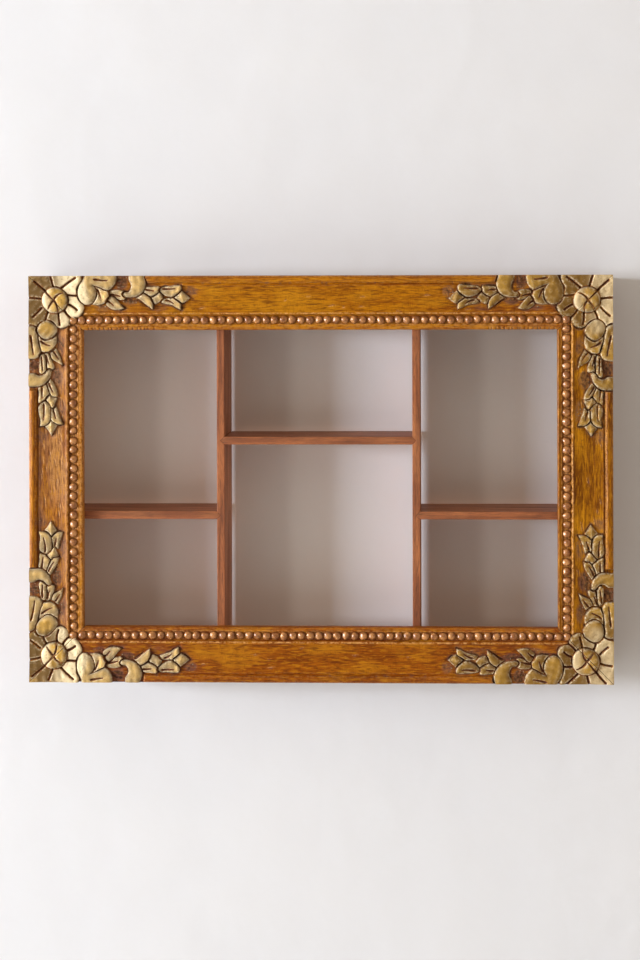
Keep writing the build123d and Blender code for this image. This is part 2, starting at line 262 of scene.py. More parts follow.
def eased_copy(node, material, arris, shortest):
    """A copy of a CAD board as clean faces, with its long outside edges eased, standing for the board."""
    form = bmesh.new()
    form.from_mesh(nodes[node].data)
    bmesh.ops.remove_doubles(form, verts=form.verts, dist=1e-6)
    bmesh.ops.dissolve_limit(form, angle_limit=radians(1), verts=form.verts, edges=form.edges)
    long_edges = [
        edge
        for edge in form.edges
        if edge.is_convex and edge.calc_length() > shortest and edge.calc_face_angle(0) > radians(30)
    ]
    bmesh.ops.bevel(
        form, geom=long_edges, offset=arris, segments=2, profile=0.6, affect="EDGES", clamp_overlap=True
    )
    bmesh.ops.triangulate(form, faces=[face for face in form.faces if len(face.verts) > 4])
    mesh = bpy.data.meshes.new(node + "_eased")
    form.to_mesh(mesh)
    form.free()
    mesh.materials.append(material)
    piece = bpy.data.objects.new(node + "_eased", mesh)
    bpy.context.scene.collection.objects.link(piece)
    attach(piece, "root")
    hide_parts(node)


box_colours = ("#5b3218", "#87502a", "#9a6238")
box_arris, box_shortest_edge = 0.0008, 0.02
upright_box_wood = plain_board("matt_stained_hardwood_upright", "z", *box_colours, 0.62)
level_box_wood = plain_board("matt_stained_hardwood_level", "x", *box_colours, 0.62)
for board in ("side_board_left", "side_board_right"):
    eased_copy(board, upright_box_wood, box_arris, box_shortest_edge)
for board in ("top_board", "bottom_board", "hanging_rail"):
    eased_copy(board, level_box_wood, box_arris, box_shortest_edge)

# Dividers and shelves: thinner boards of a reddish hardwood, rubbed to a satin wax. Their pointed ends
# sit in V grooves, and their front edges stand a little back behind the frame.
shelf_colours = ("#804522", "#b26a3c", "#c27e4a")
shelf_arris, shelf_shortest_edge = 0.0006, 0.005
upright_shelf_wood = plain_board("satin_red_hardwood_upright", "z", *shelf_colours, 0.5)
level_shelf_wood = plain_board("satin_red_hardwood_level", "x", *shelf_colours, 0.5)
for board in ("divider_left", "divider_right"):
    eased_copy(board, upright_shelf_wood, shelf_arris, shelf_shortest_edge)
for board in ("shelf_middle", "shelf_lower_left", "shelf_lower_right"):
    eased_copy(board, level_shelf_wood, shelf_arris, shelf_shortest_edge)

# Frame members: four lengths of moulded hardwood, mitred at the corners, carved there by hand with a
# rosette, discs, leaves and two tulips, stained amber, waxed, rubbed through and gilded with gold paint.
# The sizes of members and beads are in millimetres, and heights are measured from a member's flat back.
# Materials and node trees keep to the shelf's metres.
rail_length = round((cad_box[1].x - cad_box[0].x) * 1000, 2)
stile_length = round((cad_box[1].z - cad_box[0].z) * 1000, 2)
frame_back_y = round(max(corner[1] for corner in nodes["frame_top_rail"].bound_box) * 1000, 2)
ground = 12.0
deepest_cut, highest_face = 8.6, 15.95
carved_reach = 119.0
drawn_reach = 175.0
grid_step = 0.5
plain_step = 2.5
outer_bead_width, outer_bead_height = 8, 3.9
# How far each member's row of beads lies inside the shelf's outer edge
bead_inset = {"bottom": 48.0, "right": 47.4, "top": 45.6, "left": 45.4}
rail_bead_count, stile_bead_count = 57, 35
rail_bead_pitch, stile_bead_pitch = 9.054, 9.541

# Each shape: height above the ground, width of its rounded shoulder, lean up to its outer end, and its
# outline from the corner, along the rail and down the stile. A point given twice is a sharp tip.
rosette_shapes = {
    "petals": (
        3.0, 3.2, 0.0,
        ((-4, -4), (-4, -4), (48, -4), (54, 1), (53, 6), (52, 12), (52, 20), (54.5, 26), (57, 31.5),
         (56, 36), (52.5, 40.2), (47.5, 42.6), (43, 42.8), (43, 42.8), (42.6, 47), (40.8, 50.3),
         (37, 52.8), (33, 53.6), (30, 52.6), (26, 52), (20, 52), (8, 52), (-4, 54), (-4, 54)),
    ),
}
rail_shapes = {
    "crescent": (
        2.5, 2.6, 0.24,
        ((66, 9), (72, 10.2), (78, 13.2), (81.9, 15.4), (83.8, 18.4), (84, 21), (82.9, 24.2),
         (81, 27.2), (77.6, 29.4), (73, 30.4), (68, 29.8), (64, 28.6), (68, 20)),
    ),
    "disc_and_lobed_leaf": (
        3.0, 4.4, 0.02,
        ((58, -4), (58, -4), (89.5, -4), (90.5, 0.2), (90.6, 4.6), (89.2, 9), (86.4, 12.8), (83, 15.2),
         (79.6, 14.2), (76, 12.4), (72, 10.6), (67.4, 9.2), (67.4, 9.2), (70.2, 13), (71, 18),
         (69.8, 23), (67, 27.2), (62.6, 29.6), (57.6, 29), (53.4, 25.8), (51, 20), (50.8, 13.4),
         (52.6, 7.6), (55.6, 3)),
    ),
    "paired_leaf": (
        2.3, 2.2, 0.17,
        ((84, 16.6), (87, 15), (91.5, 14.4), (96, 15), (100, 16.6), (102, 19), (101.5, 22), (99.6, 25),
         (97, 25.8), (92, 25), (88, 23.4), (84.6, 20.6)),
    ),
    "long_leaf": (
        2.4, 2.4, 0.17,
        ((84, 22.4), (86.6, 21.6), (90, 24), (93, 27.6), (96.4, 31.4), (99.6, 34.2), (99.6, 34.2),
         (96.6, 35.2), (92, 36), (87, 35.6), (83.3, 33.6), (80.2, 30.4), (81.4, 26.6)),
    ),
    "tulip_lower_petal": (
        2.3, 2.2, 0.17,
        ((111.6, 23.6), (114.5, 21), (117.8, 17.4), (123, 19.6), (126.8, 24), (128.6, 29.4),
         (128.2, 34.8), (128.2, 34.8), (125.2, 32.4), (120.6, 28.8), (115.4, 26)),
    ),
    "tulip_bud": (
        2.4, 2.8, 0.08,
        ((127.4, 21.8), (132, 20), (136, 17), (138.6, 20.4), (140, 24.6), (136, 27), (130.8, 29.2),
         (128.6, 25.6)),
    ),
    "tulip_upper_petal": (
        2.5, 2.2, 0.12,
        ((119, 11.4), (122, 10.6), (128, 10.3), (134.8, 10.2), (136, 13.8), (134, 17), (130.4, 19.4),
         (126.6, 21), (122.6, 18.4), (119, 15.6)),
    ),
    "second_tulip_lower_petal": (
        2.3, 2.2, 0.17,
        ((137.4, 28), (139.6, 24.4), (144.6, 23.6), (150, 22.8), (154, 25), (157.4, 29.2),
         (157.6, 35.8), (157.6, 35.8), (153.4, 34.2), (149, 31.4), (143, 30)),
    ),
    "second_tulip_diamond": (
        2.5, 3.6, 0.04,
        ((151.6, 23), (156, 19.6), (158.6, 15.6), (158.6, 15.6), (163, 19.4), (167.4, 23.4),
         (167.4, 23.4), (164, 26.6), (159.2, 29.4), (159.2, 29.4), (155.6, 26.4)),
    ),
    "second_tulip_upper_petal": (
        2.5, 2.4, 0.12,
        ((136, 13.6), (139, 11.2), (147, 10.4), (157.2, 10), (158.4, 14), (156.4, 17.4), (153, 20.2),
         (149.6, 22.6), (145, 22), (140.4, 19.8), (136.8, 16.4)),
    ),
    "scroll": (
        3.0, 4.2, 0.05,
        ((103.2, -4), (103.2, -4), (103.8, 4), (105.8, 7.4), (106.7, 11), (105.6, 14.6), (103.6, 16.8),
         (99.8, 17.4), (97.6, 20), (99.4, 22.4), (104.2, 22.8), (109.8, 22.2), (114.6, 20.2),
         (118.6, 16.4), (121, 11.2), (121.4, 6), (119.8, 1), (119, -4), (119, -4)),
    ),
}
# Each cut: where it starts, a point that it bends through, and where it runs out
rail_cuts = (
    (68, 2.7, 74.9, 4.1, 81.4, 4.8), (71.8, 13.4, 74, 17.5, 75.7, 23),
    (84.4, 19.7, 90, 20.4, 95.4, 21.8), (81.6, 26.8, 84.6, 28.4, 87.6, 31.4),
    (122, 13.9, 126, 14.2, 129.6, 15), (113, 24, 117, 26.4, 121.8, 31),
    (139.6, 13.4, 146, 13.8, 152.4, 13.6), (142.4, 25.6, 146, 26.6, 150.4, 29.4),
)
# Each ridge: its two ends
rail_ridges = ((157, 17.5, 160.4, 27.4),)
stile_shapes = {
    "crescent": (
        2.5, 2.6, 0.22,
        ((9, 58), (10.5, 61), (16, 62), (22, 62), (28.6, 59.6), (29.9, 65.7), (29.2, 70.3),
         (26.8, 74.6), (22.4, 77.8), (17.1, 78.6), (12.6, 76.5), (10.6, 72), (9.6, 66)),
    ),
    "outer_leaf": (
        2.9, 2.8, 0.04,
        ((-4, 49), (-4, 49), (2, 49.4), (5.4, 50.8), (7.8, 53.3), (8.6, 57), (8.9, 62.2), (9.9, 67.5),
         (11.3, 72.8), (12.5, 76.4), (12.2, 80), (10, 82.9), (6.5, 84.7), (0.5, 85), (-4, 85), (-4, 85)),
    ),
    "disc": (
        3.0, 4.4, 0.02,
        ((8, 53), (9.6, 49), (13.4, 46), (18.5, 45.2), (23, 47.4), (27.2, 50.8), (29.9, 55.6),
         (28.9, 58.8), (26.8, 61.8), (23.8, 64), (20.6, 65.3), (16.4, 64.9), (13, 62.8), (10.5, 59.9),
         (8.6, 56.8)),
    ),
    "inner_long_leaf": (
        2.4, 2.3, 0.14,
        ((25.6, 77.6), (28.8, 75), (31.4, 79.5), (33.6, 84.5), (35.4, 92.6), (35.4, 92.6), (32.7, 90.4),
         (27.7, 87.9), (23.2, 85), (21.2, 81.4)),
    ),
    "middle_leaf": (
        2.5, 2.0, 0.08,
        ((16.6, 79.6), (21, 80.2), (23, 85), (25.4, 89.8), (26.4, 94.8), (24.2, 96.4), (19.4, 96.2),
         (17.8, 90), (17, 84)),
    ),
    "outer_short_leaf": (
        2.6, 2.0, 0.08,
        ((12.2, 80.8), (16, 80.6), (17.2, 87), (17.3, 92.3), (16.8, 98.5), (13.5, 101), (10.2, 98.4),
         (10.6, 90), (11.2, 84)),
    ),
    "tulip_outer_petal": (
        2.6, 2.2, 0.08,
        ((9.8, 114), (13.5, 111.6), (18, 110.8), (20.9, 116.3), (21.8, 120.2), (20.8, 123.4),
         (18, 126.8), (14.7, 129), (10.4, 129.8), (10.2, 121.8)),
    ),
    "tulip_inner_petal": (
        2.5, 2.1, 0.08,
        ((18.2, 110.2), (21.2, 106), (25.4, 111), (29.2, 117.7), (30.6, 124.4), (27.5, 125),
         (24, 123.8), (21.6, 119.6)),
    ),
    "tulip_bud": (
        2.4, 3.0, 0.06,
        ((17.4, 128.4), (22.4, 122.8), (24.5, 125), (30, 126), (27.8, 131.6), (25.9, 136.4),
         (25.9, 136.4), (21.4, 132.8)),
    ),
    "second_tulip_inner_petal": (
        2.3, 2.2, 0.14,
        ((22, 135.4), (25.7, 137), (27.1, 135.6), (29.6, 134), (31.6, 142), (35.6, 152.4),
         (35.6, 152.4), (31.2, 152.6), (27.8, 152), (24, 148.8), (22, 145.7)),
    ),
    "second_tulip_diamond": (
        2.5, 3.6, 0.04,
        ((15.6, 153.9), (20.2, 151.2), (22.5, 148), (22.5, 148), (25.4, 151), (29.4, 153.4),
         (29.4, 153.4), (26.4, 158.2), (22.9, 164), (22.9, 164), (19.2, 158.6)),
    ),
    "second_tulip_outer_petal": (
        2.7, 2.3, 0.06,
        ((10.2, 133.3), (14.7, 129.2), (18, 129), (22.2, 133.6), (22.6, 140), (22.2, 145.9),
         (20.2, 150.5), (16.1, 153.4), (10.4, 154), (10.4, 154), (11.2, 146.6), (9.8, 139.7)),
    ),
    "scroll": (
        3.0, 4.0, 0.03,
        ((-4, 99.6), (-4, 99.6), (4.6, 99.4), (7.8, 101.4), (11.5, 102.2), (15.4, 100.4), (17.6, 97.6),
         (20.6, 96), (23, 97.4), (22.3, 101.4), (21, 105.6), (18.8, 108.7), (15.6, 111.9),
         (12.4, 113.5), (8, 114), (-4, 113.6), (-4, 113.6)),
    ),
}
stile_cuts = (
    (2.2, 60, 4, 69, 5.5, 80), (12.6, 66.9, 17.4, 70.1, 23, 72.2), (26.2, 78.6, 28.6, 81.4, 31.4, 85.8),
    (18, 81.6, 19.2, 86, 20.8, 90.2), (12.9, 83, 13.3, 90, 13.9, 96.8),
    (13.2, 114, 13.6, 119, 14.1, 125.4), (20.2, 110.6, 22.4, 115.4, 25.4, 119.8),
    (15.6, 131, 15.8, 138, 14.7, 147.2), (25.7, 138, 27, 142, 28, 146),
)
stile_ridges = ((22.8, 126, 25.4, 135), (22.5, 149.6, 22.8, 162.6))
# Each hollow, left dark and speckled: its middle, its reach each way, and how dark it is
rail_hollows = (
    (96, 6, 7.5, 10, 1.0), (105, 26.5, 9, 4.4, 0.95), (168, 16, 8, 6, 0.8), (78, 33.5, 10, 4, 0.7),
    (134, 34, 12, 4, 0.5),
)
stile_hollows = (
    (5, 92, 9, 7.5, 1.0), (29, 104, 7, 11, 0.95), (13, 164, 7, 8, 0.7), (34, 72, 5, 12, 0.8),
    (35, 138, 4.5, 14, 0.7),
)
rosette_centre = (26.9, 24.9)
boss_radius = 13.6
rosette_cuts = (
    (17.4, 15.6, 11.6, 9.8, 5.6, 4.4), (25.4, 11, 23.6, 5, 22.1, 0.2), (34.5, 12, 41, 6.4, 48, 1),
    (40.5, 19.4, 46, 19.7, 51, 19.5), (36.2, 35, 39, 39.2, 43.2, 43.2), (30, 38, 30.6, 44, 31.8, 50),
    (19, 36.6, 17, 41, 15.9, 46), (12.3, 32.7, 8, 37, 3.6, 40.8), (12, 23.1, 6, 22, 0.2, 21.5),
    (41.1, 29.4, 45, 31.2, 49.4, 34.4),
)
boss_cuts = (
    (15.6, 13.6, 20.6, 19, 25.4, 24), (27.2, 24, 30.2, 20.2, 36, 17.2),
    (27, 25.8, 29.6, 31, 29.8, 37.4), (25.8, 25.6, 22.6, 29.4, 19.4, 34),
)


def curved_outline(points, steps=5):
    """A closed smooth line through the points."""
    points = np.array(points, float)
    t = np.linspace(0, 1, steps, endpoint=False)[:, None]
    curve = []
    for i in range(len(points)):
        before, start, end, after = (points[(i + k) % len(points)] for k in (-1, 0, 1, 2))
        if (start == end).all():
            continue
        leaving = 0 if (before == start).all() else (end - before) * 0.42
        arriving = 0 if (end == after).all() else (after - start) * 0.42
        curve.append(
            (2 * t**3 - 3 * t**2 + 1) * start
            + (t**3 - 2 * t**2 + t) * leaving
            + (3 * t**2 - 2 * t**3) * end
            + (t**3 - t**2) * arriving
        )
    return np.concatenate(curve)


def line_distance(x, y, line, closed):
    """How far each point is from a line, less than nothing outside a closed one, and how far along it."""
    nearest = np.full(x.shape, 1e9)
    place = np.zeros(x.shape)
    held = np.zeros(x.shape, bool)
    count = len(line) if closed else len(line) - 1
    for i in range(count):
        (x0, y0), (x1, y1) = line[i], line[(i + 1) % len(line)]
        dx, dy = x1 - x0, y1 - y0
        t = np.clip(((x - x0) * dx + (y - y0) * dy) / (dx * dx + dy * dy + 1e-12), 0, 1)
        gap = np.hypot(x - x0 - t * dx, y - y0 - t * dy)
        closer = gap < nearest
        nearest[closer] = gap[closer]
        place[closer] = (i + t[closer]) / count
        if closed and dy:
            held ^= ((y < y0) != (y < y1)) & (x < x0 + (y - y0) * dx / dy)
    return np.where(held, nearest, -nearest) if closed else nearest, place


def close_to(x, y, line, reach):
    """Which points lie in the box round a line, or within reach of it."""
    low, high = line.min(0) - reach, line.max(0) + reach
    return (x > low[0]) & (x < high[0]) & (y > low[1]) & (y < high[1])


def waver(x, y, size, draw):
    """A smooth chance value from 0 to 1 over a surface, with swells of about the given size."""
    total = 0
    for turn, phase in draw.uniform(0, 2 * pi, (4, 2)):
        total = total + np.sin((x * cos(turn) + y * sin(turn)) * 2 * pi / size + phase)
    return np.clip(0.5 + total / 5, 0, 1)


def band(values, middle, reach, top=1.0):
    """Highest on a middle line, at most 1, and falling evenly to 0 on both sides."""
    return np.clip(top - np.abs(values - middle) / reach, 0, 1)


def add_dirt_and_shade(relief, amount):
    """Dirt, dark stain and painted shade, where there isn't more of it already."""
    relief["dirt_and_shade"] = np.maximum(relief["dirt_and_shade"], amount)


def raise_shape(relief, x, y, height, shoulder, lean, outline, way, draw):
    """One carved shape over what is there: a rounded shoulder, a lean up to its outer end, ground cut away
    beside it, and a stop cut round it that is deep in one place and almost lost in another."""
    line = curved_outline(outline)
    near = close_to(x, y, line, 7)
    if not near.any():
        return
    x, y = x[near], y[near]
    depth, _ = line_distance(x, y, line, True)
    middle = (line.min(0) + line.max(0)) / 2
    tilt = np.array(way) * lean + draw.uniform(-0.035, 0.035, 2)
    rise = 1 - (1 - np.clip(depth / (1.45 * shoulder), 0, 1)) ** 2
    top = ground + height * (0.2 + 0.8 * np.sqrt(rise))
    top = top + (x - middle[0]) * tilt[0] + (y - middle[1]) * tilt[1]
    uneven = waver(x, y, 14, draw)
    beyond = np.maximum(-depth, 0)
    groove = 0.75 + 0.85 * uneven
    stop_cut = ground - 0.5 - 0.9 * uneven + 1.1 * np.clip(beyond / groove, 0, 1)
    level = relief["height"][near]
    bare = relief["gold"][near] < 0.5
    inside = depth > 0
    beside = (depth <= 0) & (beyond < groove)
    level = np.where(bare, level - 0.8 * np.exp(-((beyond / 3.2) ** 2)), level)
    relief["height"][near] = np.where(inside, top, np.where(beside, np.minimum(level, stop_cut), level))
    relief["gold"][near] = np.where(inside, 1, relief["gold"][near] * np.where(beside, 0.1, 1))
    dirt_and_sheen = np.exp(-beyond / (0.7 + 2.6 * uneven)) * (0.45 + 0.5 * uneven)
    dirt_and_sheen = np.where(bare, dirt_and_sheen, dirt_and_sheen * np.exp(-beyond / 1.1))
    dirt_and_sheen = np.maximum(dirt_and_sheen, (0.25 + 0.6 * uneven) * np.clip((groove + 0.5 - beyond) / 0.5, 0, 1))
    # Painted shade: each shape darkens towards its outline, as if shaded at its shoulder
    edge_shade = np.clip(1 - depth / 3.2, 0, 1) ** 2 * (0.35 + 0.55 * uneven)
    relief["dirt_and_shade"][near] = np.where(inside, edge_shade, np.maximum(relief["dirt_and_shade"][near], dirt_and_sheen))


def draw_cut(relief, x, y, points, width, depth, even=False):
    """A V cut with a gouge, deep at its root and running out at its tip, or as deep all along."""
    start, bend, end = np.array(points, float).reshape(-1, 2)
    t = np.linspace(0, 1, 9)[:, None]
    line = (1 - t) ** 2 * start + 2 * t * (1 - t) * (2 * bend - (start + end) / 2) + t**2 * end
    near = close_to(x, y, line, 3)
    if not near.any():
        return
    gap, place = line_distance(x[near], y[near], line, False)
    taper = 1 if even else np.clip(1.25 - place, 0, 1) * np.clip(place * 6 + 0.5, 0, 1)
    cut = np.clip(1 - gap / (width * (0.45 + 0.55 * taper)), 0, 1)
    relief["height"][near] -= depth * taper * cut + 0.5 * np.exp(-((gap / 2.4) ** 2))
    relief["gold"][near] *= 1 - np.clip(cut * 1.7, 0, 1)
    relief["dirt_and_shade"][near] = np.maximum(relief["dirt_and_shade"][near], np.clip(cut * 1.35, 0, 1))


def add_ridge(relief, x, y, points):
    """A soft raised line down the middle of a bud, with its two sides falling away."""
    gap, _ = line_distance(x, y, np.array(points, float).reshape(-1, 2), False)
    relief["height"] += np.where(relief["gold"] > 0.5, 0.9 * np.clip(1 - gap / 4.5, 0, 1), 0)


# The corners, counted from the top left: 1 and 2 above, 3 and 4 below. No two are laid out alike. For each:
# the rosette's move along the rail and down the stile, then how far the rail's and the stile's shapes have
# moved outward, at the disc, the scroll and the last tip.
corner_moves = {
    1: ((0.3, 0.6), (0, 0, 0), (0.5, 0, 1.2)),
    2: ((-1.0, 1.0), (0, -3.2, 0), (1.5, 4.4, 1.8)),
    3: ((-2.0, 2.0), (-4.4, -4.8, -2.6), (4.0, 3.6, 1.6)),
    4: ((2.0, -2.4), (0.5, 0, 2.6), (0, 0, -1.2)),
}
left_corners = (1, 3)
disc_scroll_and_tip = (60, 108, 160)
hand_wander = 0.55


def move_with_corner(x, y, level, corner):
    """Where each point of this corner lies on the common plan, which the hand never follows quite."""
    phases = np.random.default_rng(100 + corner).uniform(0, 2 * pi, 4)
    plan_x = x + hand_wander * np.sin(y / 9 + phases[0]) + 0.35 * np.sin(x / 6 + phases[1])
    plan_y = y + hand_wander * np.sin(x / 10 + phases[2]) + 0.35 * np.sin(y / 7 + phases[3])
    (rosette_x, rosette_y), rail_moves, stile_moves = corner_moves[corner]
    arm = np.clip((np.maximum(x, y) - 48) / 12, 0, 1)
    plan_x -= rosette_x * (1 - arm)
    plan_y -= rosette_y * (1 - arm)
    if level:
        plan_x -= np.interp(x, disc_scroll_and_tip, rail_moves) * arm
    else:
        plan_y -= np.interp(y, disc_scroll_and_tip, stile_moves) * arm
    return plan_x, plan_y


def carve_corner(relief, x, y, level, corner):
    """The whole carving of one corner, on the half of it that this member carries."""
    x, y = move_with_corner(x, y, level, corner)
    draw = np.random.default_rng(200 + corner)
    way = (1, 0) if level else (0, 1)
    cx, cy = rosette_centre
    away = np.hypot(x - cx, y - cy)
    to_right = (x - cx) if corner in left_corners else (cx - x)

    # Rosette: dished petals with a painted highlight towards the right, parted by even cuts
    for shape in rosette_shapes.values():
        raise_shape(relief, x, y, *shape, (0, 0), draw)
    dish = np.clip((away - boss_radius) * 0.19 - 3.4, -3.4, 0.9)
    relief["height"] += np.where(relief["gold"] > 0.5, dish, 0)
    # Painted highlight: paler gold in the left corners, nearer the window, and on the petals that face it
    relief["pale"] += 0.2 if corner in left_corners else 0
    on_rosette = np.clip((38 - away) / 5, 0, 1)
    relief["pale"] += (np.clip(0.55 + to_right / 30, 0.12, 1) - relief["pale"]) * on_rosette
    for cut in rosette_cuts:
        draw_cut(relief, x, y, cut, 1.7, 2.0, even=True)

    # Ground between the shapes: hollowed, dark, and splashed with specks of gold
    for hollow_x, hollow_y, across, down, strength in rail_hollows if level else stile_hollows:
        hollow = np.exp(-((((x - hollow_x) / across) ** 2 + ((y - hollow_y) / down) ** 2) ** 2))
        add_dirt_and_shade(relief, hollow * strength * (0.7 + 0.3 * waver(x, y, 5, draw)))
        relief["height"] -= 0.5 * hollow * (relief["gold"] < 0.5)
        specks = hollow * strength * np.clip(waver(x, y, 3.2, draw) * 4 - 2.8, 0, 1)
        relief["gold"] = np.maximum(relief["gold"], specks * 0.9)

    # Discs, leaves, tulips and scroll along the arm
    for shape in (rail_shapes if level else stile_shapes).values():
        raise_shape(relief, x, y, *shape, way, draw)
    for cut in rail_cuts if level else stile_cuts:
        draw_cut(relief, x, y, cut, 1.6, 1.9)
    for ridge in rail_ridges if level else stile_ridges:
        add_ridge(relief, x, y, ridge)

    # Boss: a low dome cut into four turned blades, with a painted highlight on its left
    turns = [i * pi / 9 for i in range(18)]
    boss = [(cx + boss_radius * cos(turn), cy + boss_radius * sin(turn)) for turn in turns]
    raise_shape(relief, x, y, 3.1, 3.4, 0, boss, way, draw)
    on_boss = away < boss_radius
    crown = 0.75 * np.clip(1 - (away / boss_radius) ** 2, 0, 1)
    around = np.degrees(np.arctan2(y - cy, x - cx)) % 360
    blade = np.zeros(x.shape)
    for first, last in zip((-45, 70, 127, 225), (70, 127, 225, 315)):
        part = (around - first) % 360
        blade = np.where(part < last - first, part / (last - first), blade)
    blades = 0.9 * (0.5 - blade) * np.clip(away / 5, 0, 1) * np.clip((boss_radius - away) / 3, 0, 1)
    relief["height"] += np.where(on_boss, crown + blades, 0)
    relief["pale"] = np.where(on_boss, np.clip(0.3 - to_right / 13, 0, 1), relief["pale"])
    for cut in boss_cuts:
        draw_cut(relief, x, y, cut, 1.6, 1.3)
    relief["height"] += np.where(relief["gold"] > 0.5, 0.45 * (waver(x, y, 7, draw) - 0.5), 0)


def plain_section(inward, member):
    """The moulding's height at each distance from its outer edge: the outer bead, a quirk, the hollow field,
    a ridge, the channel that the beads stand in, and the lip."""
    ridge, row, edge, fullness = (member[key] for key in ("ridge", "row", "edge", "bead_fullness"))
    half_bead = outer_bead_width / 2
    round_part = np.clip(1 - np.abs((inward - half_bead) / half_bead) ** fullness, 0, 1) ** (1 / fullness)
    points = (
        (outer_bead_width, ground), (9, member["quirk_height"]), (10, 12.8),
        (15, 12.4), (21, 12.1), (27, 12.1), (33, 12.4),
        (ridge - 1.7, 13), (ridge - 0.5, 13.7), (ridge + 0.5, 13.7), (ridge + 1.2, 13),
        (row - 4.2, 10), (row + 3.7, 10), (row + 4.9, 11.2),
        (row + 5.6, 11.1), (edge - 1, 11.2), (edge, 10.4),
    )
    over, up = zip(*points)
    return np.where(
        inward <= outer_bead_width, ground + outer_bead_height * round_part, np.interp(inward, over, up)
    )


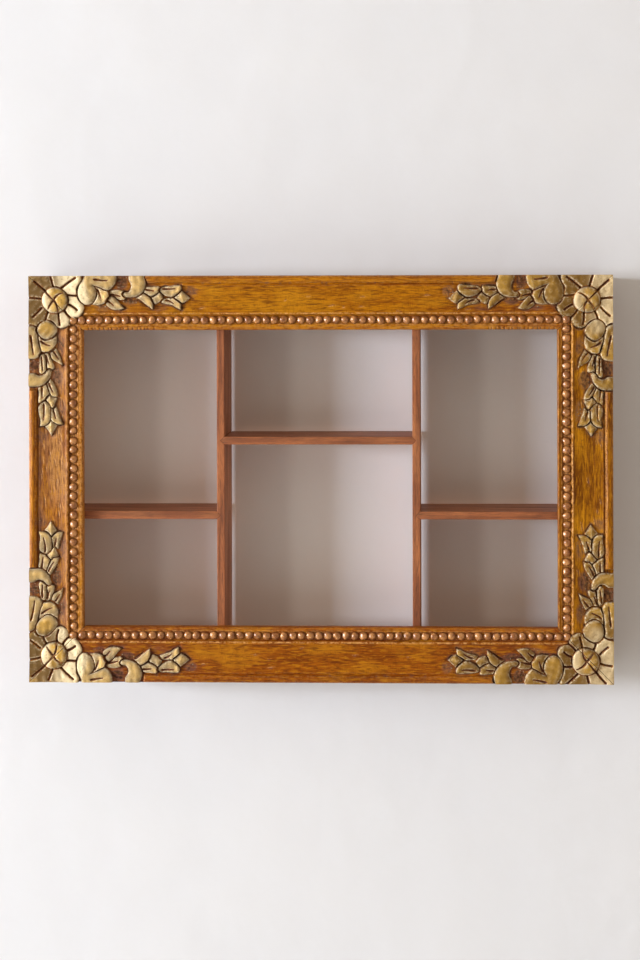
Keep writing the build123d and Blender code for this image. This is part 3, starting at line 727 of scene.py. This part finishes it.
def member_mesh(member, seed):
    """One member as a fine grid over its face, closed by sides, mitres and back, with its colour fields."""
    length, level, ridge, row, edge = (member[key] for key in ("length", "level", "ridge", "row", "edge"))
    fine = np.arange(0, drawn_reach, grid_step)
    plain = np.arange(drawn_reach, length - drawn_reach, plain_step)
    stations = np.concatenate((fine, plain, length - fine[::-1]))
    channel_lines = row + np.array((-3.9, -2, 0, 2, 3.8, 4.2, 4.6, 5, 5.4))
    lip_lines = np.linspace(row + 6, edge, 7)
    lines = np.concatenate((np.arange(0, row - 3.9, grid_step), channel_lines, lip_lines))
    station, inward = np.meshgrid(stations, lines, indexing="ij")
    near_end = np.clip(1 - station / drawn_reach, 0, 1)
    far_end = np.clip(1 - (length - station) / drawn_reach, 0, 1)
    along = station + inward * (near_end - far_end)
    to_end = np.minimum(along, length - along)
    draw = np.random.default_rng(seed)
    phase = draw.uniform(0, 2 * pi, 6)

    # The moulding, planed by hand, and its outer bead cut away where the carving begins
    sway = 0.22 * np.sin(along / 31 + phase[0]) + 0.16 * np.sin(along / 13 + phase[1])
    sway += 0.08 * np.sin(along / 5.1 + phase[2])
    sway *= np.clip(inward / 6, 0, 1) * np.clip((edge - inward) / 6, 0, 1)
    height = plain_section(inward + sway, member)
    swell = 0.10 * np.sin(along / 17 + inward / 9 + phase[3]) * np.sin(inward / 7 + phase[4])
    height += swell * np.clip((41 - inward) / 5, 0, 1)
    in_carving = np.clip((member["bead_end"] - to_end) / 1.5, 0, 1)
    cut_ground = 11.6 + 0.25 * np.sin(along / 1.9 + phase[5]) * np.sin(inward / 1.3)
    bead_part = inward < 10.5
    height[bead_part] = (height * (1 - in_carving) + cut_ground * in_carving)[bead_part]
    relief = {
        "height": height,
        "gold": np.zeros_like(height),
        "dirt_and_shade": np.zeros_like(height),
        "pale": np.full_like(height, 0.35),
    }

    # Nicks on both sides of the outer bead, two runs of them on a worn lip, and scratches in the field
    for _ in range(int(length / 9)):
        middle = draw.uniform(carved_reach + 3, length - carved_reach - 3)
        depth, width, side = draw.uniform(0.1, 0.65), draw.uniform(0.5, 1.3), draw.choice((0.6, 7.6))
        nick = band(along, middle, width) * band(inward, side, 2.6)
        height -= depth * nick
        add_dirt_and_shade(relief, 0.8 * nick)
    for number in range(member["lip_nicks"]):
        middle = 60 + number * 4.2 + draw.uniform(-1.2, 1.2)
        middle += 340 if number >= member["lip_nicks"] / 2 else 0
        nick = band(along, middle, 1.2) * np.clip((inward - edge + 3.2) / 1.5, 0, 1)
        height -= 0.9 * nick
        add_dirt_and_shade(relief, 0.8 * nick)
    scratched = np.zeros_like(height)
    for _ in range(member["scratches"]):
        middle, over, reach = draw.uniform(110, length - 110), draw.uniform(11, 36), draw.uniform(1.5, 4.5)
        lengthwise = band(along, middle, reach, 1.4)
        off = inward - over - 0.12 * (along - middle)
        scratch = lengthwise * band(off, 0, 0.8, 1.2)
        height -= 0.45 * scratch
        add_dirt_and_shade(relief, 0.7 * scratch)
        scratched = np.maximum(scratched, lengthwise * band(off, 1.1, 0.6, 1.2))

    # The carving of both corners, and the fine open line of the mitres
    for corner, from_corner in zip(member["corners"], (along, length - along)):
        part = from_corner < drawn_reach
        x, y = (from_corner, inward) if level else (inward, from_corner)
        carved = {key: field[part] for key, field in relief.items()}
        carve_corner(carved, x[part], y[part], level, corner)
        for key in relief:
            relief[key][part] = carved[key]
    mitre = band(to_end, inward, 0.9)
    height -= 0.7 * mitre * np.where(relief["gold"] > 0.5, 1.0, 0.5)
    height[:] = np.clip(height, deepest_cut, highest_face)
    on_wood = relief["gold"] < 0.5

    # Dirt in the mitres and the bead channel, darker in the quirk, and a painted shadow beside the outer bead
    add_dirt_and_shade(relief, 0.7 * mitre)
    add_dirt_and_shade(relief, 0.38 * np.clip(inward - row + 5.2, 0, 1) * np.clip(row + 4.8 - inward, 0, 1))
    quirk = band(inward, member["quirk_middle"], member["quirk_reach"]) * (1 - in_carving)
    add_dirt_and_shade(relief, member["quirk_dirt"] * quirk)
    # Painted shadow cast by the outer bead on the left stile's field
    shade = band(inward, 11, 5) * (0.5 + 0.25 * np.sin(along / 9 + phase[2]))
    add_dirt_and_shade(relief, member["hand_shade"] * shade * on_wood)

    # Stain rubbed through on sharp edges, the fillets beside the beads, the lip and scratches, and a painted
    # highlight along the outer bead
    bend = -np.gradient(np.gradient(height, lines, axis=1), lines, axis=1)
    bend -= np.gradient(np.gradient(height, stations, axis=0), stations, axis=0)
    between = 0.5 - 0.5 * np.cos((along - member["first_bead"]) * 2 * pi / member["bead_pitch"])
    fillet = 0.5 * band(inward, row + 4.8, 0.9, 1.4) + band(inward, ridge + 0.6, 0.9, 1.3)
    wear = np.clip(bend * 0.7, 0, 1) * np.where(relief["gold"] > 0.5, 0.7, 0.3)
    for rubbed in (
        np.clip(fillet * (0.45 + 0.55 * between) * on_wood, 0, 1),
        0.7 * between**6 * band(inward, row, 1.5, 2.0) * on_wood,
        member["lip_wear"] * np.clip((inward - row - 5.6) / 0.6, 0, 1),
        0.8 * scratched * on_wood,
        # Painted highlight: a pale line on the right stile's outer bead, where it would mirror the window
        member["bead_wear"] * band(inward, outer_bead_width, 0.6, 1.3) * (1 - in_carving),
    ):
        wear = np.maximum(wear, rubbed)

    rows, columns = height.shape
    face = np.stack((along, inward, height), -1)
    flat_back = (1, 1, 0)
    coords = np.concatenate((face.reshape(-1, 3), face[:, 0] * flat_back, face[:, -1] * flat_back))
    index = np.arange(rows * columns).reshape(rows, columns)
    outer = rows * columns + np.arange(rows)
    inner = outer + rows
    front_faces = np.stack((index[:-1, :-1], index[1:, :-1], index[1:, 1:], index[:-1, 1:]), -1)
    outer_faces = np.stack((outer[:-1], outer[1:], index[1:, 0], index[:-1, 0]), -1)
    inner_faces = np.stack((index[:-1, -1], index[1:, -1], inner[1:], inner[:-1]), -1)
    back_faces = np.stack((outer[1:], outer[:-1], inner[:-1], inner[1:]), -1)
    faces = np.concatenate((front_faces.reshape(-1, 4), outer_faces, inner_faces, back_faces)).tolist()
    faces.append([outer[0], *index[0, :], inner[0]])
    faces.append([inner[-1], *index[-1, ::-1], outer[-1]])
    fields = {
        "gold": relief["gold"],
        "dirt_and_shade": relief["dirt_and_shade"],
        "wear": wear,
        "high": np.clip((height - 13.3) / 2.4, 0, 1),
        "field": np.clip((inward - 9) / 2, 0, 1) * np.clip((ridge + 2 - inward) / 2, 0, 1),
        "pale": relief["pale"],
    }
    values = {}
    for key, field in fields.items():
        outer_share = 0.0 if key == "gold" else 0.3
        values[key] = np.concatenate((field.reshape(-1), field[:, 0] * outer_share, field[:, -1] * 0.3))
    return coords, faces, values


def gilded_wood(name, axis, dark, light, worn):
    """Amber-stained hardwood, waxed and rubbed through on its high edges, with gold paint on the carving.
    Streaks of grain run along the member, dirt stays in the cuts, and the paint is pale at sharp edges."""
    made, tree = new_material(name)
    place = add_node(tree, "ShaderNodeTexCoord").outputs["Object"]
    across = add_node(tree, "ShaderNodeSeparateXYZ", {0: place}).outputs["X"]
    gold, dirt_and_shade, wear, field, high, pale = (
        add_node(tree, "ShaderNodeAttribute", attribute_name=key).outputs["Fac"]
        for key in ("gold", "dirt_and_shade", "wear", "field", "high", "pale")
    )
    figure = grain(tree, axis, 110, 5.5, 5.0, 0.8)
    streaks = grain(tree, axis, 38, 1.3, 3.0)
    pores = grain(tree, axis, 8, 0.5, 2.0)
    blotch = grain(tree, axis, 60, 22)
    mottle = grain(tree, axis, 10, 1.7, 4.0, 0.5)
    hatch = grain(tree, axis, 0.8, 7, 3.0)
    grime = add_node(tree, "ShaderNodeTexNoise", {"Vector": place, "Scale": 420.0, "Detail": 3.0})
    wash = add_node(tree, "ShaderNodeTexNoise", {"Vector": place, "Scale": 85.0, "Detail": 3.0})
    tool_marks = add_node(tree, "ShaderNodeTexNoise", {"Vector": place, "Scale": 260.0, "Detail": 2.0})

    # Wood: stain that took unevenly, with a pale painted sheen on the left stile, redder towards a rail's
    # ends, dark streaks and pores, golden flecks that are painted glints, and cross marks of the plane
    wood = layer(tree, srgb(dark), srgb(light), figure, 0.34, 0.64)
    # Painted sheen: on the left stile this blotch tone is a pale veil standing for the window's reflection
    wood = layer(tree, wood, srgb(worn), blotch, 0.38, 0.66, 0.1, 0.8, within=field)
    if axis == "x":
        off_middle = add_node(tree, "ShaderNodeMath", {0: across}, operation="ABSOLUTE")
        wood = layer(tree, wood, srgb("#84421c"), off_middle, 0.05, 0.22, 0.0, 0.4)
    wood = layer(tree, wood, srgb("#6a2e02"), streaks, 0.53, 0.72, 0.0, 0.7)
    wood = layer(tree, wood, srgb("#3e1a02"), pores, 0.34, 0.46, 0.5, 0.0)
    # Painted glints: golden flecks in the mottle and the blotches
    wood = layer(tree, wood, srgb("#d08c14"), mottle, 0.5, 0.66, 0.0, 0.45)
    wood = layer(tree, wood, srgb("#d08c14"), blotch, 0.5, 0.66, 0.0, 0.3)
    wood = layer(tree, wood, srgb("#5c2a04"), mottle, 0.36, 0.48, 0.55, 0.0)
    wood = layer(tree, wood, srgb("#5c2a04"), hatch, 0.54, 0.72, 0.0, 0.4, within=field)
    wood = layer(tree, wood, srgb("#e6ac66"), grime, 0.35, 0.6, within=wear)

    # Paint: bronze in the low parts, gold on the high ones, cream where rubbed and in a painted highlight
    rise = add_node(tree, "ShaderNodeMath", {0: wash, 1: 0.5, 2: high}, operation="MULTIPLY_ADD")
    paint = layer(tree, srgb("#6e4a0c"), srgb("#cc9c34"), rise, 0.4, 1.35)
    # Painted highlight: cream on the parts of the carving that face the window
    paint = layer(tree, paint, srgb("#f6e2b4"), pale, 0.35, 1.0, 0.08, 0.85)
    paint = layer(tree, paint, srgb("#86683a"), grime, 0.5, 0.72, 0.0, 0.45)
    # Painted shade: the gold darkens towards the shelf's right side, away from the window
    paint = layer(tree, paint, srgb("#8c6216"), across, -0.3, 0.25, 0.0, 0.45)
    paint = layer(tree, paint, srgb("#fae8c0"), grime, 0.35, 0.6, within=wear)
    smooth = {"interpolation_type": "SMOOTHSTEP"}
    frayed = add_node(tree, "ShaderNodeMapRange", {0: grime, 1: 0.3, 2: 0.7, 3: -0.35, 4: 0.12}, **smooth)
    paint_edge = add_node(tree, "ShaderNodeMath", {0: gold, 1: frayed}, operation="ADD")
    painted = add_node(tree, "ShaderNodeMapRange", {0: paint_edge, 1: 0.35, 2: 0.6}, **smooth)
    tone = add_node(tree, "ShaderNodeMix", {0: painted, 6: wood, 7: paint}, data_type="RGBA")

    # Dirt and painted shade: a greyish film on the wood, which is partly a painted reflection of the sky,
    # darker in the cuts, and brown on the paint
    patchy = add_node(tree, "ShaderNodeMapRange", {0: grime, 1: 0.2, 2: 0.7, 3: 0.6, 4: 1.0}, **smooth)
    darkening = add_node(tree, "ShaderNodeMath", {0: dirt_and_shade, 1: patchy}, operation="MULTIPLY")
    # Painted reflection: the light dirt is greyish purple, like the sky mirrored around the carving
    dirt_and_sheen = layer(tree, srgb("#6e5450"), srgb("#3a261c"), darkening, 0.4, 0.85)
    dirt_and_sheen = add_node(tree, "ShaderNodeMix", {0: painted, 6: dirt_and_sheen, 7: srgb("#46301f")}, data_type="RGBA")
    tone = layer(tree, tone, dirt_and_sheen, darkening, 0.1, 0.95, 0.0, 0.9)

    # Gloss: a waxed sheen on the wood, less on the paint, none in the dirt, and a trace of metal in the paint
    clean = add_node(tree, "ShaderNodeMapRange", {0: darkening, 1: 0.2, 2: 0.7, 3: 1.0, 4: 0.0}, **smooth)
    metal = add_node(tree, "ShaderNodeMath", {0: painted, 1: 0.16}, operation="MULTIPLY")
    metal = add_node(tree, "ShaderNodeMath", {0: metal, 1: clean}, operation="MULTIPLY")
    waxed = add_node(tree, "ShaderNodeMapRange", {0: field, 3: 0.37, 4: 0.42}, **smooth)
    rough = add_node(tree, "ShaderNodeMath", {0: painted, 1: 0.2, 2: waxed}, operation="MULTIPLY_ADD")
    rough = add_node(tree, "ShaderNodeMath", {0: darkening, 1: 0.3, 2: rough}, operation="MULTIPLY_ADD")
    fibres = add_node(tree, "ShaderNodeMath", {0: figure, 1: streaks}, operation="ADD")
    fibres = add_node(tree, "ShaderNodeMath", {0: fibres, 1: pores}, operation="ADD")
    felt = add_node(tree, "ShaderNodeMapRange", {0: painted, 3: 1.0, 4: 0.25}, **smooth)
    fibres = add_node(tree, "ShaderNodeMath", {0: fibres, 1: felt}, operation="MULTIPLY")
    height = add_node(tree, "ShaderNodeMath", {0: tool_marks, 1: 1.4, 2: fibres}, operation="MULTIPLY_ADD")
    bump = add_node(tree, "ShaderNodeBump", {"Height": height, "Strength": 0.45, "Distance": 0.0006})
    gloss = {"Metallic": metal, "Roughness": rough, "Specular IOR Level": 0.14}
    surface = add_node(tree, "ShaderNodeBsdfPrincipled", {"Base Color": tone, "Normal": bump, **gloss})
    add_node(tree, "ShaderNodeOutputMaterial", {"Surface": surface})
    return made


def turned(coords, start, along, inward):
    """Member millimetres to the shelf's metres: along its length, inward, and out to the front."""
    out = np.array((0, -1, 0))
    placed = np.array(start) + coords[:, :1] * np.array(along)
    placed = placed + coords[:, 1:2] * np.array(inward) + coords[:, 2:] * out
    return placed / 1000


half = rail_length / 2
rail = {
    "length": rail_length, "level": True, "bead_pitch": rail_bead_pitch, "bead_end": carved_reach,
    "quirk_height": 12.0, "quirk_middle": 9.0, "quirk_reach": 2.0, "quirk_dirt": 0.22,
    "bead_fullness": 2.0, "bead_wear": 0.0, "hand_shade": 0.0, "scratches": 14, "lip_nicks": 0,
}
stile = {
    **rail, "length": stile_length, "level": False, "bead_pitch": stile_bead_pitch, "bead_end": 118.0,
    "quirk_height": 11.2, "quirk_dirt": 0.55,
}
# Each member: its wood, its corners, its ridge, bead row and inner edge inward from its outer side, its
# first bead, how its stain is worn, its painted highlight and shadow by the outer bead, and where it starts
# and which ways it runs.
members = {
    "frame_bottom_rail": {
        **rail,
        "wood": gilded_wood("amber_waxed_hardwood_bottom", "x", "#803a00", "#a45602", "#aa6008"),
        "corners": (3, 4), "ridge": 41.0, "row": bead_inset["bottom"], "edge": 56.6,
        "first_bead": bead_inset["left"], "lip_wear": 0.1,
        "start": (-half, frame_back_y, 0), "along": (1, 0, 0), "inward": (0, 0, 1),
    },
    # Its outer bead carries a painted highlight along its inner edge
    "frame_right_stile": {
        **stile,
        "wood": gilded_wood("amber_waxed_hardwood_right", "z", "#6e3800", "#985a00", "#da9210"),
        "corners": (4, 2), "ridge": 41.0, "row": bead_inset["right"], "edge": 56.4,
        "first_bead": bead_inset["bottom"], "lip_wear": 0.0, "bead_fullness": 3.4, "bead_wear": 0.5,
        "quirk_middle": 9.3, "quirk_reach": 1.5, "scratches": 24,
        "start": (half, frame_back_y, 0), "along": (0, 0, 1), "inward": (-1, 0, 0),
    },
    "frame_top_rail": {
        **rail,
        "wood": gilded_wood("amber_waxed_hardwood_top", "x", "#9a5200", "#bc7400", "#c07e0c"),
        "corners": (2, 1), "ridge": 38.4, "row": bead_inset["top"], "edge": 55.8,
        "first_bead": bead_inset["right"], "lip_wear": 0.2, "lip_nicks": 34,
        "start": (half, frame_back_y, stile_length), "along": (-1, 0, 0), "inward": (0, 0, -1),
    },
    # Its field carries a pale painted sheen, and a painted shadow lies beside its outer bead
    "frame_left_stile": {
        **stile,
        "wood": gilded_wood("sunned_amber_hardwood_left", "z", "#92500c", "#b87012", "#bc8a60"),
        "corners": (1, 3), "ridge": 39.2, "row": bead_inset["left"], "edge": 55.2,
        "first_bead": bead_inset["top"], "lip_wear": 0.45, "hand_shade": 1.0, "scratches": 44,
        "start": (-half, frame_back_y, stile_length), "along": (0, 0, -1), "inward": (1, 0, 0),
    },
}
for seed, (node, member) in enumerate(members.items(), 11):
    coords, faces, values = member_mesh(member, seed)
    mesh = bpy.data.meshes.new(node + "_carved")
    mesh.from_pydata(turned(coords, member["start"], member["along"], member["inward"]).tolist(), [], faces)
    for key, field in values.items():
        mesh.attributes.new(key, "FLOAT", "POINT").data.foreach_set("value", field.astype(np.float32))
    mesh.polygons.foreach_set("use_smooth", [True] * len(mesh.polygons))
    mesh.set_sharp_from_angle(angle=radians(60))
    mesh.materials.append(member["wood"])
    piece = bpy.data.objects.new(node + "_carved", mesh)
    bpy.context.scene.collection.objects.link(piece)
    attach(piece, "root")
    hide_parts(node)

# Bead rows: the beads stand in the channel inside the carving, cut one by one from the same wood, so
# no two are quite alike. They are stained like the frame, with painted shade darkening each towards its base.
bead_centre, bead_radius, bead_flatness = 9.9, 4.4, 0.93
left_row, right_row = bead_inset["left"] - half, half - bead_inset["right"]
bottom_row, top_row = bead_inset["bottom"], stile_length - bead_inset["top"]
bead_points = []
for x in np.linspace(left_row, right_row, rail_bead_count):
    bead_points += [(x, bottom_row), (x, top_row)]
for z in np.linspace(bottom_row, top_row, stile_bead_count)[1:-1]:
    bead_points += [(left_row, z), (right_row, z)]
bead_y = frame_back_y - bead_centre
points_mesh = bpy.data.meshes.new("bead_rows")
points_mesh.from_pydata([(x / 1000, bead_y / 1000, z / 1000) for x, z in bead_points], [], [])
bead_rows = bpy.data.objects.new("bead_rows", points_mesh)
bpy.context.scene.collection.objects.link(bead_rows)

# Rubbed hardwood: reddish brown, blotchy, with short dark fibres, painted shade towards the channel, and a
# thin wax that gives each bead a soft bright crescent on the side of the window.
bead_wood, tree = new_material("rubbed_hardwood_beads")
place = add_node(tree, "ShaderNodeTexCoord").outputs["Object"]
deep = add_node(tree, "ShaderNodeSeparateXYZ", {0: place}).outputs["Y"]
mottle = add_node(tree, "ShaderNodeTexNoise", {"Vector": place, "Scale": 140.0, "Detail": 3.0})
fibres = add_node(tree, "ShaderNodeTexNoise", {"Vector": place, "Scale": 700.0, "Detail": 3.0})
tone = layer(tree, srgb("#8e5424"), srgb("#cc8e50"), mottle, 0.35, 0.65)
tone = layer(tree, tone, srgb("#6e3510"), fibres, 0.55, 0.7, 0.0, 0.4)
# Painted shade: each bead darkens towards its base in the channel
bright_y, dark_y = (bead_y - 2.9) / 1000, (bead_y - 0.1) / 1000
tone = layer(tree, tone, srgb("#4a2008"), deep, bright_y, dark_y, 0.0, 0.85)
bump = add_node(tree, "ShaderNodeBump", {"Height": fibres, "Strength": 0.3, "Distance": 0.0003})
waxed = {"Roughness": 0.3, "IOR": 1.5, "Coat Weight": 0.5, "Coat Roughness": 0.36}
surface = add_node(tree, "ShaderNodeBsdfPrincipled", {"Base Color": tone, "Normal": bump, **waxed})
add_node(tree, "ShaderNodeOutputMaterial", {"Surface": surface})

bead_tree = bpy.data.node_groups.new("carved_beads", "GeometryNodeTree")
bead_tree.interface.new_socket("Geometry", in_out="INPUT", socket_type="NodeSocketGeometry")
sizes = {
    "Bead Radius": bead_radius / 1000,
    "Flatness": bead_flatness,
    "Hand Wander": 0.00035,
    "Knife Marks": 0.0018,
}
for label in sizes:
    bead_tree.interface.new_socket(label, in_out="INPUT", socket_type="NodeSocketFloat")
bead_tree.interface.new_socket("Bead Material", in_out="INPUT", socket_type="NodeSocketMaterial")
bead_tree.interface.new_socket("Geometry", in_out="OUTPUT", socket_type="NodeSocketGeometry")
given = bead_tree.nodes.new("NodeGroupInput").outputs
ball = add_node(bead_tree, "GeometryNodeMeshIcoSphere", {"Radius": given["Bead Radius"], "Subdivisions": 3})
flat = add_node(bead_tree, "ShaderNodeCombineXYZ", {0: 1.0, 1: given["Flatness"], 2: 1.0})
flattened = add_node(bead_tree, "GeometryNodeTransform", {"Geometry": ball.outputs[0], "Scale": flat})
back_wander = add_node(bead_tree, "ShaderNodeMath", {0: given["Hand Wander"], 1: -1.0}, operation="MULTIPLY")
vector = {"data_type": "FLOAT_VECTOR"}
wander = add_node(
    bead_tree, "FunctionNodeRandomValue", {0: back_wander, 1: given["Hand Wander"], "Seed": 5}, **vector
)
size = add_node(
    bead_tree, "FunctionNodeRandomValue", {0: (0.93, 0.9, 0.93), 1: (1.02, 1.0, 1.02), "Seed": 7}, **vector
)
turn = add_node(
    bead_tree, "FunctionNodeRandomValue", {0: (-0.12, -3.1, -0.12), 1: (0.12, 3.1, 0.12), "Seed": 9}, **vector
)
centres = add_node(bead_tree, "GeometryNodeMeshToPoints", {"Mesh": given["Geometry"]})
shifted = add_node(bead_tree, "GeometryNodeSetPosition", {"Geometry": centres, "Offset": wander})
placed = add_node(
    bead_tree,
    "GeometryNodeInstanceOnPoints",
    {"Points": shifted, "Instance": flattened, "Rotation": turn, "Scale": size},
)
real = add_node(bead_tree, "GeometryNodeRealizeInstances", {"Geometry": placed})
facets = add_node(bead_tree, "ShaderNodeTexNoise", {"Scale": 190.0, "Detail": 1.0}).outputs["Color"]
centred = add_node(bead_tree, "ShaderNodeVectorMath", {0: facets, 1: (0.5, 0.5, 0.5)}, operation="SUBTRACT")
shove = add_node(
    bead_tree, "ShaderNodeVectorMath", {0: centred, "Scale": given["Knife Marks"]}, operation="SCALE"
)
uneven = add_node(bead_tree, "GeometryNodeSetPosition", {"Geometry": real, "Offset": shove})
smooth_beads = add_node(bead_tree, "GeometryNodeSetShadeSmooth", {"Geometry": uneven})
finished = add_node(
    bead_tree, "GeometryNodeSetMaterial", {"Geometry": smooth_beads, "Material": given["Bead Material"]}
)
add_node(bead_tree, "NodeGroupOutput", {0: finished})

made_by = bead_rows.modifiers.new("carved_beads", "NODES")
made_by.node_group = bead_tree
identifiers = {s.name: s.identifier for s in bead_tree.interface.items_tree if s.in_out == "INPUT"}
for label, value in sizes.items():
    made_by[identifiers[label]] = value
made_by[identifiers["Bead Material"]] = bead_wood
evaluated = bead_rows.evaluated_get(bpy.context.evaluated_depsgraph_get())
plain_mesh = bpy.data.meshes.new_from_object(evaluated)
bead_rows.modifiers.clear()
bead_rows.data = plain_mesh
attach(bead_rows, "root")

# Dowels, brads and nails: fluted beech pins glued across the mitres, and square cut steel brads and
# nails, driven flush and gone dark, that hold the frame and the box together.
dowel_wood = plain_board("bare_beech", "y", "#b98d5c", "#d2ab7a", "#c79c68", 0.7)
# Oxidised steel: dark grey brown, dull, and rougher where rust has begun
nail_steel, tree = new_material("oxidised_steel")
place = add_node(tree, "ShaderNodeTexCoord").outputs["Object"]
rust = add_node(tree, "ShaderNodeTexNoise", {"Vector": place, "Scale": 900.0, "Detail": 4.0})
tone = layer(tree, srgb("#39332e"), srgb("#5a4436"), rust, 0.4, 0.65)
rough = add_node(
    tree, "ShaderNodeMapRange", {0: rust, 1: 0.3, 2: 0.7, 3: 0.45, 4: 0.7}, interpolation_type="SMOOTHSTEP"
)
dull = {"Metallic": 0.8, "Roughness": rough}
surface = add_node(tree, "ShaderNodeBsdfPrincipled", {"Base Color": tone, **dull})
add_node(tree, "ShaderNodeOutputMaterial", {"Surface": surface})
fastener_materials = {"mitre_dowels": dowel_wood, "frame_brads": nail_steel, "carcass_nails": nail_steel}
for node, material in fastener_materials.items():
    nodes[node].data.materials.clear()
    nodes[node].data.materials.append(material)

# Keyhole plates and screws: pressed steel with a thin zinc plating, let in flush at the back.
# The eye gets a pale grey metal, softly blurred, with a faint spangle and fine marks of the rolling.
zinc, tree = new_material("zinc_plated_steel")
place = add_node(tree, "ShaderNodeTexCoord").outputs["Object"]
spangle = add_node(tree, "ShaderNodeTexNoise", {"Vector": place, "Scale": 350.0, "Detail": 3.0})
rolled = grain(tree, "x", 6, 0.25, 2.0)
tone = layer(tree, srgb("#a9a59a"), srgb("#c6c3ba"), spangle, 0.35, 0.65)
bump = add_node(tree, "ShaderNodeBump", {"Height": rolled, "Strength": 0.2, "Distance": 0.0001})
rough = add_node(
    tree,
    "ShaderNodeMapRange",
    {0: spangle, 1: 0.3, 2: 0.7, 3: 0.32, 4: 0.45},
    interpolation_type="SMOOTHSTEP",
)
plating = {"Base Color": tone, "Metallic": 1.0, "Roughness": rough, "Normal": bump}
surface = add_node(tree, "ShaderNodeBsdfPrincipled", plating)
add_node(tree, "ShaderNodeOutputMaterial", {"Surface": surface})
for node in ("keyhole_plate_left", "keyhole_plate_right", "hanger_screws"):
    nodes[node].data.materials.clear()
    nodes[node].data.materials.append(zinc)
